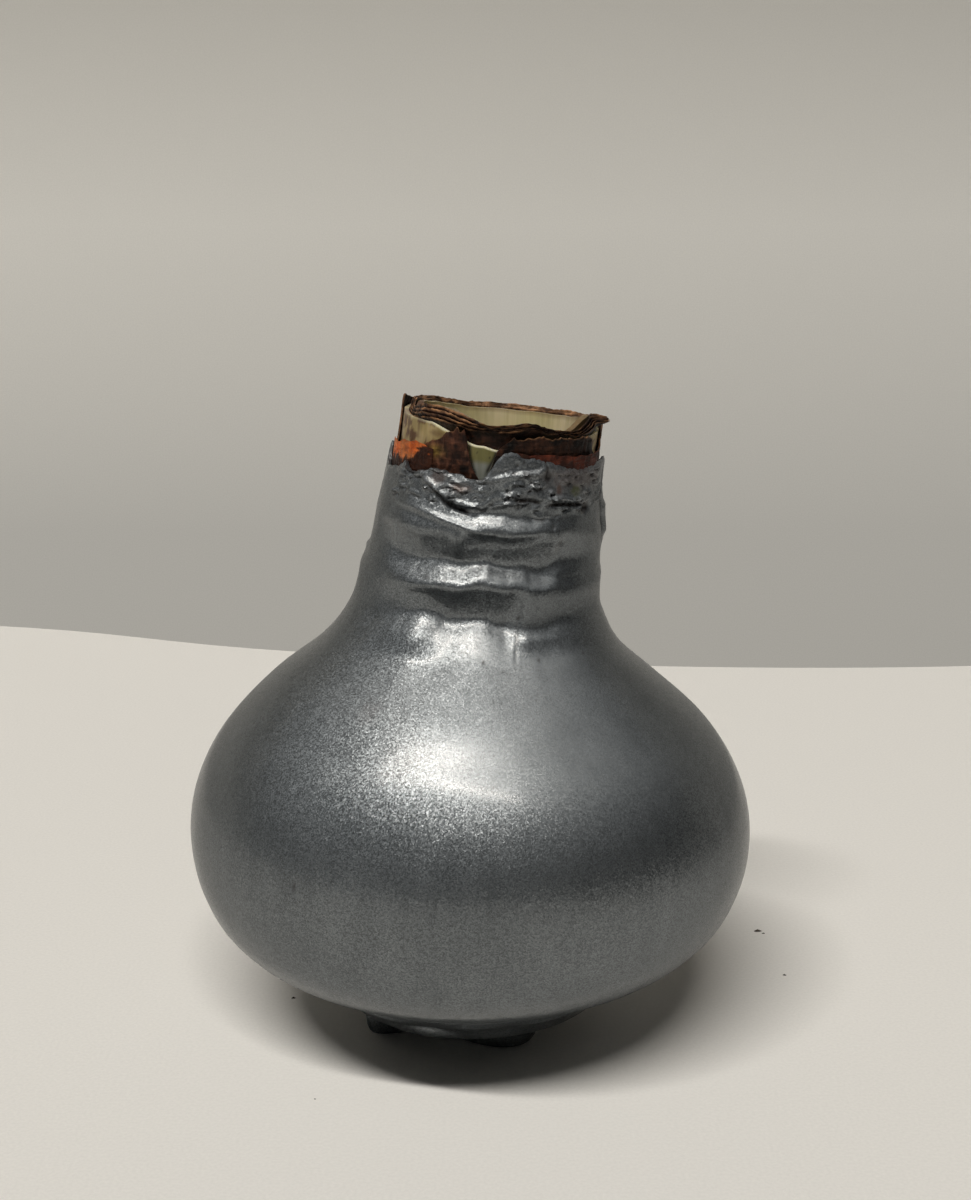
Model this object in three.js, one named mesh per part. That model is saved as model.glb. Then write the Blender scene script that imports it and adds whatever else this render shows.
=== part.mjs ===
// A waxed amaryllis bulb: a squat living bulb whose cut neck stands open, dipped in metallic
// wax so that it flowers without soil or water. Torn papery tunics show between the ragged
// edge of the wax and the cut.
//
// Millimetres, +Z up. The origin is on the surface that the bulb stands on, in the middle of
// its flat foot. Azimuth is in degrees round the bulb: 0 faces -Y and 90 faces +X. The bulb
// is described by azimuth, height along its centre line and radius from that line.

import * as THREE from 'three';

// ---------- Driving dimensions ----------

const COLUMNS = 60;
const GAP = 0.28;

// Outside of the wax from the base lip to the neck: [height, radius].
const BODY_OUTLINE = [
  [9.2, 21.2], [13.4, 29.8], [17, 36.7], [21.5, 41.6], [27, 44.5], [33, 45.8], [43, 44.6],
  [52, 39.6], [60, 31.5], [66, 24.4], [72, 20.4], [80, 18.6], [92, 17.2], [104, 16.2],
];

// The neck leans towards +X: [height, sideways offset of the centre line].
const CENTRE_LINE = [
  [0, 0], [12, 0], [33, 0], [52, -0.6], [62, -1.1], [70, 0.3], [82, 2.3], [104, 5.2],
];
const CUT_TILT = 6;
const TILT_START = 70;
const TILT_LENGTH = 25;

// Wax coat.
const WAX_THICKNESS = 1.5;
const RIM_THICKNESS = 0.65;
const NECK_START = 69;
const BODY_ROWS = 20;
const NECK_ROWS = 17;

// Soft folds where the wax set on the wrinkled neck:
// [crest height, swell, half width, rise over the front, azimuth of the strongest stretch].
const NECK_FOLDS = [
  [70.6, 0.35, 1.8, 0.5, -20],
  [77.6, 0.60, 1.7, -0.6, 5],
  [86.2, 0.70, 1.9, -1.6, 20],
  [91.4, 0.35, 1.0, 0.4, 15],
];
const WEAKEST_FOLD = 0.4;

// Foot: a lip of wax under the body, and the pad of wax lumps that it stands on.
const LIP_RADIUS = 22.2;
const LIP_HEIGHT = 7.6;
const UNDERSIDE_RADIUS = 20.6;
const UNDERSIDE_HEIGHT = 6.4;
const PAD_RADIUS = 9.5;
// Lumps of the pad: [azimuth, reach from the middle, half width in degrees].
const PAD_LUMPS = [
  [-63, 19.0, 13], [22, 12.6, 16], [52, 13.2, 14], [112, 15.4, 20], [168, 17.4, 18], [-128, 16.4, 20],
];
// Sides of the pad: [height, spread beyond its flat].
const PAD_SIDES = [[0, 0], [2.4, 0.9], [5.8, 1.2]];
const PAD_INSET = 0.4;

// Inside of the wax, which the bulb fills: [radius, height] under the body, then rows above.
const CAVITY_BASE = [[10, 8.1], [17, 8.7], [21, 11.4], [26, 14.0], [31, 16.6]];
const CAVITY_LOW = 19;
const CAVITY_TOP = 84;
const CAVITY_ROWS = 12;

// Layers of the neck from the open mouth outwards, each a ring of [inner radius, outer radius].
const MOUTH_RADIUS = 12.6;
const INNER_SCALE = [MOUTH_RADIUS, MOUTH_RADIUS + 0.9];
const RIM_TUNIC = layerRound(INNER_SCALE, 0.6);
const OUTER_SCALE = layerRound(RIM_TUNIC, 0.65);
const BROWN_TUNIC = layerRound(OUTER_SCALE, 0.62);
const RED_TUNIC = layerRound(BROWN_TUNIC, RIM_THICKNESS);
const NECK_BORE = RED_TUNIC[0];
const NECK_STEP = 86.8;
const GROOVE_FLOOR = 90;

// Mouth floor: tops of the cut inner scales, [radius, height] from the wall to the middle.
const MOUTH_FLOOR = [
  [12.6, 90.6], [11.2, 90.6], [11.0, 89.6], [8.6, 89.6], [8.4, 90.3], [5.8, 90.1], [5.5, 89.0], [2.6, 89.0],
];

// Cut or torn upper edges round the neck: [azimuth, height].
const CUT_EDGE = [
  [-180, 102.6], [-160, 102.6], [-140, 103.0], [-120, 103.5], [-95, 103.6], [-62, 103.3], [-36, 104.3],
  [-17, 103.3], [3, 103.1], [15, 103.6], [36, 103.0], [52, 103.3], [66, 104.4], [95, 104.0], [120, 103.4],
  [150, 102.8], [180, 102.6],
];
const INNER_SCALE_DROP = 0.5;
const OUTER_SCALE_EDGE = [
  [-180, 101.9], [-120, 102.4], [-78, 101.9], [-36, 101.9], [-18, 100.3], [-6, 99.6], [6, 99.8],
  [30, 101.0], [66, 101.9], [120, 102.4], [180, 101.9],
];
const BROWN_EDGE = [
  [-180, 102.2], [-150, 102.3], [-120, 103.0], [-102, 103.6], [-96, 96.4], [-48, 96.2], [-42, 98.6],
  [-30, 100.5], [-24, 101.0], [-18, 99.0], [-12, 95.3], [-6, 95.6], [0, 99.6], [6, 101.4], [54, 101.8],
  [60, 101.2], [66, 98.9], [78, 98.7], [84, 101.6], [96, 103.4], [120, 103.1], [150, 102.5], [180, 102.2],
];
const ORANGE_RUN = [-96, -48];
const ORANGE_EDGE = [[-96, 98.8], [-72, 98.7], [-48, 99.5]];
const RED_RUN = [12, 66];
const RED_EDGE = [[12, 98.9], [30, 99.3], [42, 99.1], [66, 99.2]];
const WAX_EDGE = [
  [-180, 96.4], [-156, 95.2], [-132, 97.0], [-108, 95.6], [-90, 96.2], [-84, 93.9], [-66, 94.2], [-54, 95.4],
  [-48, 94.2], [-36, 95.0], [-24, 95.4], [-12, 94.9], [-6, 95.5], [0, 98.4], [6, 99.3], [12, 97.4],
  [30, 97.3], [36, 97.0], [54, 96.6], [66, 97.0], [78, 98.3], [90, 97.8], [108, 96.2], [132, 97.4],
  [156, 95.8], [180, 96.4],
];
const EDGE_TEETH = 0.35;

// The dark layers at the cut curl outwards over the front.
const RIM_FLARE = 1.5;
const FLARE_START = 102.4;
const FLARE_LENGTH = 1.2;
const FLARE_SPREAD = 1.6;

// Surface colours.
const SILVER_WAX = 0x7d8488;
const CREAM_FLESH = 0xcfc79a;
const DARK_TUNIC = 0x4a2a24;
const BROWN_PAPER = 0x6b3f2c;
const ORANGE_PAPER = 0xc46a30;
const RED_PAPER = 0x84412e;

// ---------- Curves ----------

// Ring that lies round another one with a gap between them.
function layerRound([, outer], thickness) {
  return [outer + GAP, outer + GAP + thickness];
}

// Evenly spaced values from the first to the last.
function steps(first, last, count) {
  return Array.from({ length: count + 1 }, (_, step) => THREE.MathUtils.lerp(first, last, step / count));
}

// Smooth curve through [position, value] points, held level past both ends.
function curve(points, position) {
  const last = points.length - 1;
  const at = THREE.MathUtils.clamp(position, points[0][0], points[last][0]);
  let index = 0;
  while (index < last - 1 && at > points[index + 1][0]) {
    index += 1;
  }
  const [startAt, start] = points[index];
  const [endAt, end] = points[index + 1];
  const span = endAt - startAt;
  const t = (at - startAt) / span;
  const startSlope = slopeAt(points, index) * span;
  const endSlope = slopeAt(points, index + 1) * span;
  return start * (1 + 2 * t) * (1 - t) ** 2 + startSlope * t * (1 - t) ** 2
    + end * t * t * (3 - 2 * t) + endSlope * t * t * (t - 1);
}

// Slope of the smooth curve at one of its points, from the chords on both sides.
function slopeAt(points, index) {
  const chord = (from) => (points[from + 1][1] - points[from][1]) / (points[from + 1][0] - points[from][0]);
  if (index === 0) {
    return chord(0);
  }
  if (index === points.length - 1) {
    return chord(index - 1);
  }
  const before = points[index][0] - points[index - 1][0];
  const after = points[index + 1][0] - points[index][0];
  return (chord(index - 1) * after + chord(index) * before) / (before + after);
}

// Straight runs between [azimuth, height] points.
function edgeHeight(points, azimuth) {
  const next = points.findIndex(([at]) => at >= azimuth);
  if (next <= 0) {
    return points[next === 0 ? 0 : points.length - 1][1];
  }
  const [startAt, start] = points[next - 1];
  const [endAt, end] = points[next];
  return THREE.MathUtils.lerp(start, end, (azimuth - startAt) / (endAt - startAt));
}

function seededRandom(seed) {
  let state = seed;
  return () => {
    state = (state * 1664525 + 1013904223) % 4294967296;
    return state / 4294967296;
  };
}

// A torn edge: straight runs with a small random tooth at each column.
function tornEdge(points, seed) {
  const random = seededRandom(seed);
  const teeth = Array.from({ length: COLUMNS }, () => (random() * 2 - 1) * EDGE_TEETH);
  return (azimuth) => {
    const column = Math.round(((azimuth + 180) / 360) * COLUMNS) % COLUMNS;
    return edgeHeight(points, azimuth) + teeth[column];
  };
}

const allColumns = Array.from({ length: COLUMNS }, (_, column) => column);
const cutEdge = tornEdge(CUT_EDGE, 11);
const brownEdge = tornEdge(BROWN_EDGE, 23);
const waxEdge = tornEdge(WAX_EDGE, 37);

// ---------- Places and radii ----------

function azimuthOf(column) {
  return (column / COLUMNS) * 360 - 180;
}

// Point of the bulb in space: the centre line leans, and the neck's cross-sections tip with it.
function place(azimuth, height, radius) {
  const turn = THREE.MathUtils.degToRad(azimuth);
  const tipped = THREE.MathUtils.clamp((height - TILT_START) / TILT_LENGTH, 0, 1);
  const tip = THREE.MathUtils.degToRad(CUT_TILT) * tipped;
  const across = radius * Math.sin(turn);
  return new THREE.Vector3(
    curve(CENTRE_LINE, height) + across * Math.cos(tip),
    -radius * Math.cos(turn),
    height - across * Math.sin(tip),
  );
}

// Ring round the bulb. Height and radius may be numbers or functions of the azimuth.
function ring(height, radius) {
  return Array.from({ length: COLUMNS }, (_, column) => {
    const azimuth = azimuthOf(column);
    const level = typeof height === 'function' ? height(azimuth) : height;
    const reach = typeof radius === 'function' ? radius(azimuth, level) : radius;
    return place(azimuth, level, reach);
  });
}

// Swell of the neck folds, strongest on one side and never quite gone on the other.
function foldSwell(azimuth, height) {
  let swell = 0;
  for (const [crest, size, halfWidth, rise, strongest] of NECK_FOLDS) {
    const turn = THREE.MathUtils.degToRad(azimuth);
    const level = crest + rise * Math.sin(turn);
    const facing = (1 + Math.cos(turn - THREE.MathUtils.degToRad(strongest))) / 2;
    const strength = THREE.MathUtils.lerp(WEAKEST_FOLD, 1, facing);
    swell += size * strength * Math.exp(-(((height - level) / halfWidth) ** 2));
  }
  return swell;
}

function waxOutside(azimuth, height) {
  const radius = curve(BODY_OUTLINE, height) + foldSwell(azimuth, height);
  return Math.max(radius, waxInside(height) + RIM_THICKNESS);
}

function waxInside(height) {
  return Math.max(curve(BODY_OUTLINE, height) - WAX_THICKNESS, NECK_BORE);
}

function padRadius(azimuth) {
  let radius = PAD_RADIUS;
  for (const [middle, reach, halfWidth] of PAD_LUMPS) {
    const away = THREE.MathUtils.euclideanModulo(azimuth - middle + 180, 360) - 180;
    radius += (reach - PAD_RADIUS) * Math.exp(-((away / halfWidth) ** 2));
  }
  return radius;
}

// Bare height of an edge that has no teeth.
function plainEdge(points, drop = 0) {
  return (azimuth) => edgeHeight(points, azimuth) - drop;
}

// ---------- Solids ----------

// Closed solid through a row of loops of equal length: its ends are joined, or closed by fans.
function loft(loops, joined = false) {
  const size = loops[0].length;
  const vertices = loops.flat();
  const triangles = [];
  const bands = joined ? loops.length : loops.length - 1;
  for (let band = 0; band < bands; band += 1) {
    const here = band * size;
    const there = ((band + 1) % loops.length) * size;
    for (let step = 0; step < size; step += 1) {
      const next = (step + 1) % size;
      triangles.push(here + step, here + next, there + next);
      triangles.push(here + step, there + next, there + step);
    }
  }
  if (!joined) {
    closeEnd(vertices, triangles, 0, size, false);
    closeEnd(vertices, triangles, (loops.length - 1) * size, size, true);
  }
  return solidGeometry(vertices, triangles);
}

// Fan from a loop's middle point.
function closeEnd(vertices, triangles, start, size, reversed) {
  const middle = new THREE.Vector3();
  for (let step = 0; step < size; step += 1) {
    middle.addScaledVector(vertices[start + step], 1 / size);
  }
  const centre = vertices.push(middle) - 1;
  for (let step = 0; step < size; step += 1) {
    const here = start + step;
    const next = start + ((step + 1) % size);
    triangles.push(...(reversed ? [centre, here, next] : [centre, next, here]));
  }
}

// Geometry with its faces pointing out, whichever way the loops ran.
function solidGeometry(vertices, triangles) {
  let volume = 0;
  for (let at = 0; at < triangles.length; at += 3) {
    const [a, b, c] = [vertices[triangles[at]], vertices[triangles[at + 1]], vertices[triangles[at + 2]]];
    volume += a.dot(new THREE.Vector3().crossVectors(b, c));
  }
  if (volume < 0) {
    triangles.reverse();
  }
  const geometry = new THREE.BufferGeometry().setFromPoints(vertices);
  geometry.setIndex(triangles);
  geometry.computeVertexNormals();
  return geometry;
}

// Wax: from the flat foot up the outside, over the torn edge and down the inside.
function waxCoat() {
  const loops = [];
  const padLimit = UNDERSIDE_RADIUS - PAD_INSET;
  for (const [height, spread] of PAD_SIDES) {
    loops.push(ring(height, (azimuth) => Math.min(padRadius(azimuth) + spread, padLimit)));
  }
  loops.push(ring(UNDERSIDE_HEIGHT, UNDERSIDE_RADIUS));
  loops.push(ring(LIP_HEIGHT, LIP_RADIUS));
  for (const height of steps(BODY_OUTLINE[0][0], NECK_START, BODY_ROWS)) {
    loops.push(ring(height, waxOutside));
  }
  for (const share of steps(0, 1, NECK_ROWS).slice(1)) {
    loops.push(ring((azimuth) => THREE.MathUtils.lerp(NECK_START, waxEdge(azimuth), share), waxOutside));
  }
  loops.push(ring(waxEdge, NECK_BORE));
  loops.push(ring((azimuth) => (waxEdge(azimuth) + CAVITY_TOP) / 2, NECK_BORE));
  for (const height of steps(CAVITY_TOP, CAVITY_LOW, CAVITY_ROWS)) {
    loops.push(ring(height, waxInside(height)));
  }
  for (const [radius, height] of [...CAVITY_BASE].reverse()) {
    loops.push(ring(height, radius));
  }
  return loft(loops);
}

// Bulb: basal plate, fleshy body, outer scale, groove, inner scale, mouth and its floor.
function bulbFlesh() {
  const loops = [];
  for (const [radius, height] of CAVITY_BASE) {
    loops.push(ring(height + GAP, radius - GAP));
  }
  for (const height of steps(CAVITY_LOW, CAVITY_TOP, CAVITY_ROWS)) {
    loops.push(ring(height, waxInside(height) - GAP));
  }
  const outerScaleEdge = plainEdge(OUTER_SCALE_EDGE);
  const innerScaleEdge = plainEdge(CUT_EDGE, INNER_SCALE_DROP);
  loops.push(ring(NECK_STEP, NECK_BORE - GAP));
  loops.push(ring(NECK_STEP, OUTER_SCALE[1]));
  loops.push(ring((azimuth) => (NECK_STEP + outerScaleEdge(azimuth)) / 2, OUTER_SCALE[1]));
  loops.push(ring(outerScaleEdge, OUTER_SCALE[1]));
  loops.push(ring(outerScaleEdge, OUTER_SCALE[0]));
  loops.push(ring(GROOVE_FLOOR, OUTER_SCALE[0]));
  loops.push(ring(GROOVE_FLOOR, INNER_SCALE[1]));
  loops.push(ring(innerScaleEdge, INNER_SCALE[1]));
  loops.push(ring(innerScaleEdge, INNER_SCALE[0]));
  for (const [radius, height] of MOUTH_FLOOR) {
    loops.push(ring(height, radius));
  }
  return loft(loops);
}

// Thin torn sheet between two radii over a row of columns, with its levels at each azimuth.
function sheet({ columns, radii, levels, flare = () => 0 }) {
  const sections = columns.map((column) => {
    const azimuth = azimuthOf(column);
    const heights = levels(azimuth);
    const outside = heights.map((height) => place(azimuth, height, radii[1] + flare(azimuth, height)));
    const inside = heights.map((height) => place(azimuth, height, radii[0])).reverse();
    return [...outside, ...inside];
  });
  return loft(sections, columns.length === COLUMNS);
}

// Columns of the run between two azimuths.
function columnsBetween([from, to]) {
  return allColumns.filter((column) => azimuthOf(column) >= from && azimuthOf(column) <= to);
}

// Dark bundle of dry layers that lines the cut.
function rimTunic() {
  const levels = (azimuth) => [
    ...steps(GROOVE_FLOOR + GAP, FLARE_START, 2),
    ...steps(FLARE_START, Math.max(cutEdge(azimuth), FLARE_START + GAP), 2).slice(1),
  ];
  const flare = (azimuth, height) => {
    const front = THREE.MathUtils.clamp(FLARE_SPREAD * Math.cos(THREE.MathUtils.degToRad(azimuth)), 0, 1);
    return RIM_FLARE * front * THREE.MathUtils.smoothstep(height, FLARE_START, FLARE_START + FLARE_LENGTH);
  };
  return sheet({ columns: allColumns, radii: RIM_TUNIC, levels, flare });
}

// Outer brown tunic, torn low on one side and split in a V at the front.
function brownTunic() {
  const levels = (azimuth) => steps(NECK_STEP + GAP, brownEdge(azimuth), 4);
  return sheet({ columns: allColumns, radii: BROWN_TUNIC, levels });
}

// Orange flake that fills the tear in the brown tunic.
function orangeTunic() {
  const levels = (azimuth) => steps(brownEdge(azimuth) + GAP, edgeHeight(ORANGE_EDGE, azimuth), 2);
  return sheet({ columns: columnsBetween(ORANGE_RUN), radii: BROWN_TUNIC, levels });
}

// Red-brown strip of the outermost tunic, which stands on the edge of the wax.
function redTunic() {
  const levels = (azimuth) => steps(waxEdge(azimuth) + GAP, edgeHeight(RED_EDGE, azimuth), 2);
  return sheet({ columns: columnsBetween(RED_RUN), radii: RED_TUNIC, levels });
}

// ---------- Assembly ----------

function piece(name, geometry, color, roughness, metalness) {
  const material = new THREE.MeshStandardMaterial({ color, roughness, metalness });
  const mesh = new THREE.Mesh(geometry, material);
  mesh.name = name;
  return mesh;
}

const waxedBulb = new THREE.Group();
waxedBulb.add(piece('wax_coat', waxCoat(), SILVER_WAX, 0.4, 0.7));
waxedBulb.add(piece('bulb_flesh', bulbFlesh(), CREAM_FLESH, 0.55, 0));
waxedBulb.add(piece('tunic_rim', rimTunic(), DARK_TUNIC, 0.75, 0));
waxedBulb.add(piece('tunic_brown', brownTunic(), BROWN_PAPER, 0.7, 0));
waxedBulb.add(piece('tunic_orange', orangeTunic(), ORANGE_PAPER, 0.7, 0));
waxedBulb.add(piece('tunic_red', redTunic(), RED_PAPER, 0.7, 0));

export default waxedBulb;
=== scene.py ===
"""A waxed amaryllis bulb: a flower bulb with its neck cut open, dipped in silver wax.

Metres, +Z up. The bulb stands at the origin on the wax under it. Sizes are given in
millimetres, and a place on the bulb by its azimuth in degrees (0 faces -Y, 90 faces +X), its
height along the bulb's leaning centre line and its distance from that line.
"""
import math

import bmesh
import bpy
import numpy as np
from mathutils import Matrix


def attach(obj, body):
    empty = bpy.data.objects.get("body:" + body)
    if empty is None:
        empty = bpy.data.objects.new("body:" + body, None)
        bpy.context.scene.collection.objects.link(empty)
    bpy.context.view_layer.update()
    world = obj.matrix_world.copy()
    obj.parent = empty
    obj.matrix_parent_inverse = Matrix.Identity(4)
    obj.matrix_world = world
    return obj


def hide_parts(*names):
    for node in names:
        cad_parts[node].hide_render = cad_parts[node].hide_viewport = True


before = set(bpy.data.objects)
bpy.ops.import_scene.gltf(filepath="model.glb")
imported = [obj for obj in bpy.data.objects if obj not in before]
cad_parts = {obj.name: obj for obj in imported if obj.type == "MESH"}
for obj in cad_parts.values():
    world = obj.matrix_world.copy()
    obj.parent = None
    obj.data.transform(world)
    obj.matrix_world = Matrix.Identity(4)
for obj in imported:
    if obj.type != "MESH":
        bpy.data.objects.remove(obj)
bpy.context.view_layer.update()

# ---------------------------------------------------------------------------
# Wax coat
# Paraffin wax with silver mica in it, about 1.5 mm thick. The whole bulb is dipped, so the
# wax is smooth on the body, sets in folds on the wrinkled neck and ends ragged where it
# reached the torn skins. Wax that ran down and set on the bench is the foot.
MM = 0.001
BODY_OUTLINE = [
    (9.2, 21.2), (13.4, 29.8), (17, 36.7), (21.5, 41.6), (27, 44.5), (33, 45.8), (43, 44.6), (52, 39.6),
    (60, 31.5), (66, 24.4), (72, 20.4), (80, 18.6), (92, 17.2), (104, 16.2),
]
CENTRE_LINE = [(0, 0), (12, 0), (33, 0), (52, -0.6), (62, -1.1), (70, 0.3), (82, 2.3), (104, 5.2)]
TALLEST = 115
CUT_TILT = math.radians(6)
TILT_START = 70
TILT_LENGTH = 25
WAX_THICKNESS = 1.5
NECK_BORE = 16.49
WAIST_DEPTH = 2.6
WAIST_HEIGHT = 76
WAIST_REACH = 7
BORE_DIP = 1.2
BORE_DIP_HEIGHT = 78
BORE_DIP_REACH = 5.5
RIM_THICKNESS = 0.5
SHARP_EDGE = math.radians(60)
NECK_START = 67
NECK_MM_PER_DEGREE = math.radians(17.5)
WAX_COLUMNS = 440
FRONT_CROWDING = 0.4
BODY_ROWS = 46
NECK_ROWS = 124

# Ragged upper edge of the wax: (azimuth, height).
WAX_EDGE = [
    (-180, 96.4), (-156, 95.2), (-132, 97.0), (-108, 95.6), (-96, 96.6), (-91, 95.6), (-86, 93.8),
    (-68, 94.1), (-56, 95.3), (-52, 94.4), (-44, 94.7), (-36, 95.3), (-28, 95.5), (-20, 95.2),
    (-14, 94.9), (-9, 94.9), (-6, 95.6), (-2, 97.9), (1, 99.0), (5, 99.4), (9, 99.0), (13, 98.6),
    (26, 98.5), (32, 98.0), (36, 97.6), (50, 97.1), (60, 97.4), (66, 98.0), (76, 98.2), (90, 97.8),
    (108, 96.2), (132, 97.4), (156, 95.8), (180, 96.4),
]
WAX_TEARS = [(0.25, 4.0, 37), (0.16, 1.4, 38)]
# Folds where sagging wax set over a wrinkle: points of (azimuth, height of the lip, how far it
# stands out, reach above the lip), and the reach below it.
FOLDS = [
    ([(-180, 70.4, 0.4, 3), (-100, 70.4, 0.1, 3), (-60, 70.6, 0.1, 3), (-36, 71.6, 0.9, 5.6),
      (-26, 71.6, 1.2, 5.8), (-15, 70.8, 0.2, 4.4), (11, 70.4, 0.2, 4.0), (22, 69.6, 0.1, 3),
      (60, 70, 0.1, 3), (100, 70.4, 0.1, 3), (180, 70.4, 0.4, 3)], 3.0),
    ([(-180, 78.4, 0.7, 2.4), (-110, 78.6, 0.3, 2.4), (-75, 78.3, 0.4, 2.4), (-52, 78.2, 0.5, 2.6),
      (-41, 78.5, 1.0, 3.3), (-27, 78.9, 1.6, 3.6), (-14, 78.9, 1.7, 3.6), (-3, 78.7, 1.7, 3.6),
      (8, 78.5, 1.5, 3.4), (23, 78.6, 0.9, 2.3), (39, 78.2, 0.6, 1.8), (60, 78.0, 0.4, 1.8),
      (100, 78.2, 0.3, 2.2), (180, 78.4, 0.7, 2.4)], 4.4),
    ([(-180, 86.4, 0.6, 2.6), (-110, 87.2, 0.25, 2.6), (-70, 87.4, 0.4, 3), (-50, 87.0, 0.8, 3.8),
      (-42, 86.6, 1.1, 4.6), (-33, 85.9, 1.4, 5.2), (-19, 84.9, 1.7, 5.4), (-6, 84.4, 1.7, 5.4),
      (5, 84.6, 1.6, 5.2), (20, 85.4, 1.2, 3.8), (36, 86.4, 0.6, 3), (60, 86.1, 0.3, 2.4),
      (100, 86.2, 0.25, 2.4), (180, 86.4, 0.6, 2.6)], 4.2),
    ([(-64, 90.2, 0.0, 2.6), (-46, 89.7, 0.6, 2.6), (-35, 89.3, 0.7, 2.6), (-26, 88.8, 0.6, 2.4),
      (-17, 88.3, 0.5, 2.4), (-9, 87.7, 0.45, 2.6), (-2, 87.3, 0.45, 2.8), (6, 87.0, 0.4, 3.0),
      (17, 87.4, 0.3, 3.0), (34, 88.0, 0.0, 2.6)], 0.7),
]
LIP_ROUNDING = 0.12
# Over the front the neck is flatter than at its sides, least so under the torn edge: height and
# swell.
FRONT_MIDDLE = -5
FRONT_SWELL = [
    (56, 0), (62, 0.6), (64, 0.5), (66, 0.1), (68, -0.9), (69.5, -1.45), (71.3, -2.2), (73.3, -3.3),
    (74.8, -3.1), (77, -2.5), (79.2, -1.6), (82.6, -3.2), (85, -2.0), (87.2, -0.2), (89.6, -0.5),
    (92.5, 0.1),
]
# To the left of the middle the foot of the neck climbs: azimuth and rise, and the heights
# between which it does. To the right a run of wax half fills it.
NECK_RISE = [(-70, 0), (-40, 0.4), (-28, 1.0), (-18, 1.2), (-6, 0.5), (4, 0), (60, 0)]
NECK_RISE_HEIGHTS = (66, 71, 75, 79)
RUN_FILL = 0.45
RUN_AZIMUTHS = (14, 25)
RUN_HEIGHTS = (68, 71, 77, 80)
# Random unevenness of the wax: (size, degrees, rise, seed) of each wander that is added.
FOLD_WAVES = [(0.2, 8, 5, 54)]
FRONT_WAVES = [(0.7, 15, 9, 55), (0.35, 5, 5, 56)]
NECK_WAVES = [(0.10, 24, 5, 53)]
NECK_WAVES_HEIGHTS = (60, 74)
TORN_WAVES = [(0.10, 6, 1.3, 51), (0.06, 2.5, 0.6, 52)]
TORN_WAVES_HEIGHTS = (86, 95)
LIP_WAVES = [(0.3, 20, 9, 63)]
STAIN_WAVES = [(0.6, 2.2, 0.7, 71)]
# Crests of set wax: (azimuth, height) points, how far each stands out, reach above and below.
CRESTS = [
    ([(-40, 94.2), (-34, 93.3), (-24, 92.0), (-18, 91.2), (-11, 91.0)], 0.75, 0.7, 0.35),
    ([(-13, 91.1), (-2, 91.4), (10, 91.9)], 0.45, 0.45, 0.6),
    ([(-3, 95.0), (4, 95.8), (12, 96.2), (20, 96.7), (25, 97.4)], 0.45, 0.45, 0.5),
    ([(-46, 89.9), (-36, 89.6), (-26, 89.0), (-14, 88.1), (-4, 87.3), (6, 87.0)], 0.16, 0.25, 0.35),
    ([(-13, 91.9), (-4, 92.3), (6, 92.9), (12, 93.2)], 0.20, 0.3, 0.35),
    ([(26, 92.7), (34, 92.7), (44, 92.5), (52, 92.4)], 0.40, 0.5, 0.35),
    ([(84, 91.0), (88, 88.0), (88, 84.5)], 0.70, 1.7, 1.7),
]
# Share of a crest or crack that is left at its ends, and how fast it grows from there.
LINE_END = 0.4
LINE_END_SLOPE = 4
# Cracks and creases: (azimuth, height) points, depth, half width.
CRACKS = [
    ([(-35, 93.3), (-25, 91.1), (-19, 90.4), (-12, 89.9)], 0.55, 0.28),
    ([(9, 92.2), (14, 92.4), (19, 92.3), (24, 92.0)], 0.45, 0.32),
    ([(28, 91.8), (38, 91.7), (52, 91.5)], 0.50, 0.28),
    ([(19, 89.8), (24, 89.4), (29, 89.6)], 0.25, 0.20),
    ([(33, 89.9), (36, 90.1)], 0.25, 0.20),
    ([(37, 85.4), (42, 85.2)], 0.15, 0.22),
    ([(21, 76.0), (20.5, 73.0), (18, 67.5)], 0.10, 0.25),
    ([(79, 97.0), (76, 92.5), (79, 89.0), (81, 84.5)], 0.35, 0.35),
    ([(24, 98.4), (26, 96.8), (25, 95.4)], 0.25, 0.25),
]
# Pits: azimuth, height, half width in mm, depth.
PITS = [
    (55, 90.9, 0.75, 0.8), (12, 91.3, 0.30, 0.3), (32, 88.3, 0.30, 0.3), (9, 97.6, 0.32, 0.3),
    (27, 95.9, 0.35, 0.35), (-34.2, 39.0, 0.35, 0.3), (2, 86.8, 0.22, 0.25),
]

# Foot: lumps of the pad by azimuth, reach and half width in degrees; how its side spreads with
# height; where it doesn't crumble, as azimuth and half width; the lip above it.
PAD_RADIUS = 9.5
PAD_LUMPS = [(-66, 18.4, 8), (34, 14.8, 32), (112, 15.4, 20), (168, 17.4, 18), (-128, 16.4, 20)]
PAD_SIDES = [
    (0, -1.5), (0.12, -0.9), (0.4, -0.35), (1.0, 0.2), (2.0, 0.6), (3.3, 0.8), (4.6, 0.8), (5.9, 1.0),
]
PAD_LIMIT = 19.9
PAD_SMOOTH = (28, 36)
LIP = [(6.4, 20.4), (6.35, 21.1), (6.6, 21.8), (7.1, 22.4), (7.8, 23.0), (8.5, 23.7)]
LIP_TOP = 9.2
LIP_FILL = 3.3
LIP_FILL_REACH = 1.9
# Hollows in the lip: azimuth, half width in degrees, depth.
LIP_HOLLOWS = [(-15, 11, 1.1), (13, 9, 0.7)]
LIP_HOLLOW_HEIGHT = 9.3
LIP_HOLLOW_REACH = 1.3
CREASE_HEIGHT = 12.2
CREASE_DEPTH = 0.45
CREASE_REACH = 0.45
CREASE_AZIMUTHS = (-44, -30, 24, 40)
LIP_ROWS = 18
BODY_BOTTOM = 14.6
EDGE_THINNING = 0.2
EDGE_ROUNDING = 0.6
THINNEST_WAX = 0.12
BORE_BOTTOM = 84
INSIDE_HEIGHTS = (19, 76)
INSIDE_ROWS = 10
# Inside of the base: (radius, height).
BASE_INSIDE = [(31, 16.6), (26, 14.0), (21, 11.4), (17, 8.7), (10, 8.1)]


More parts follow.
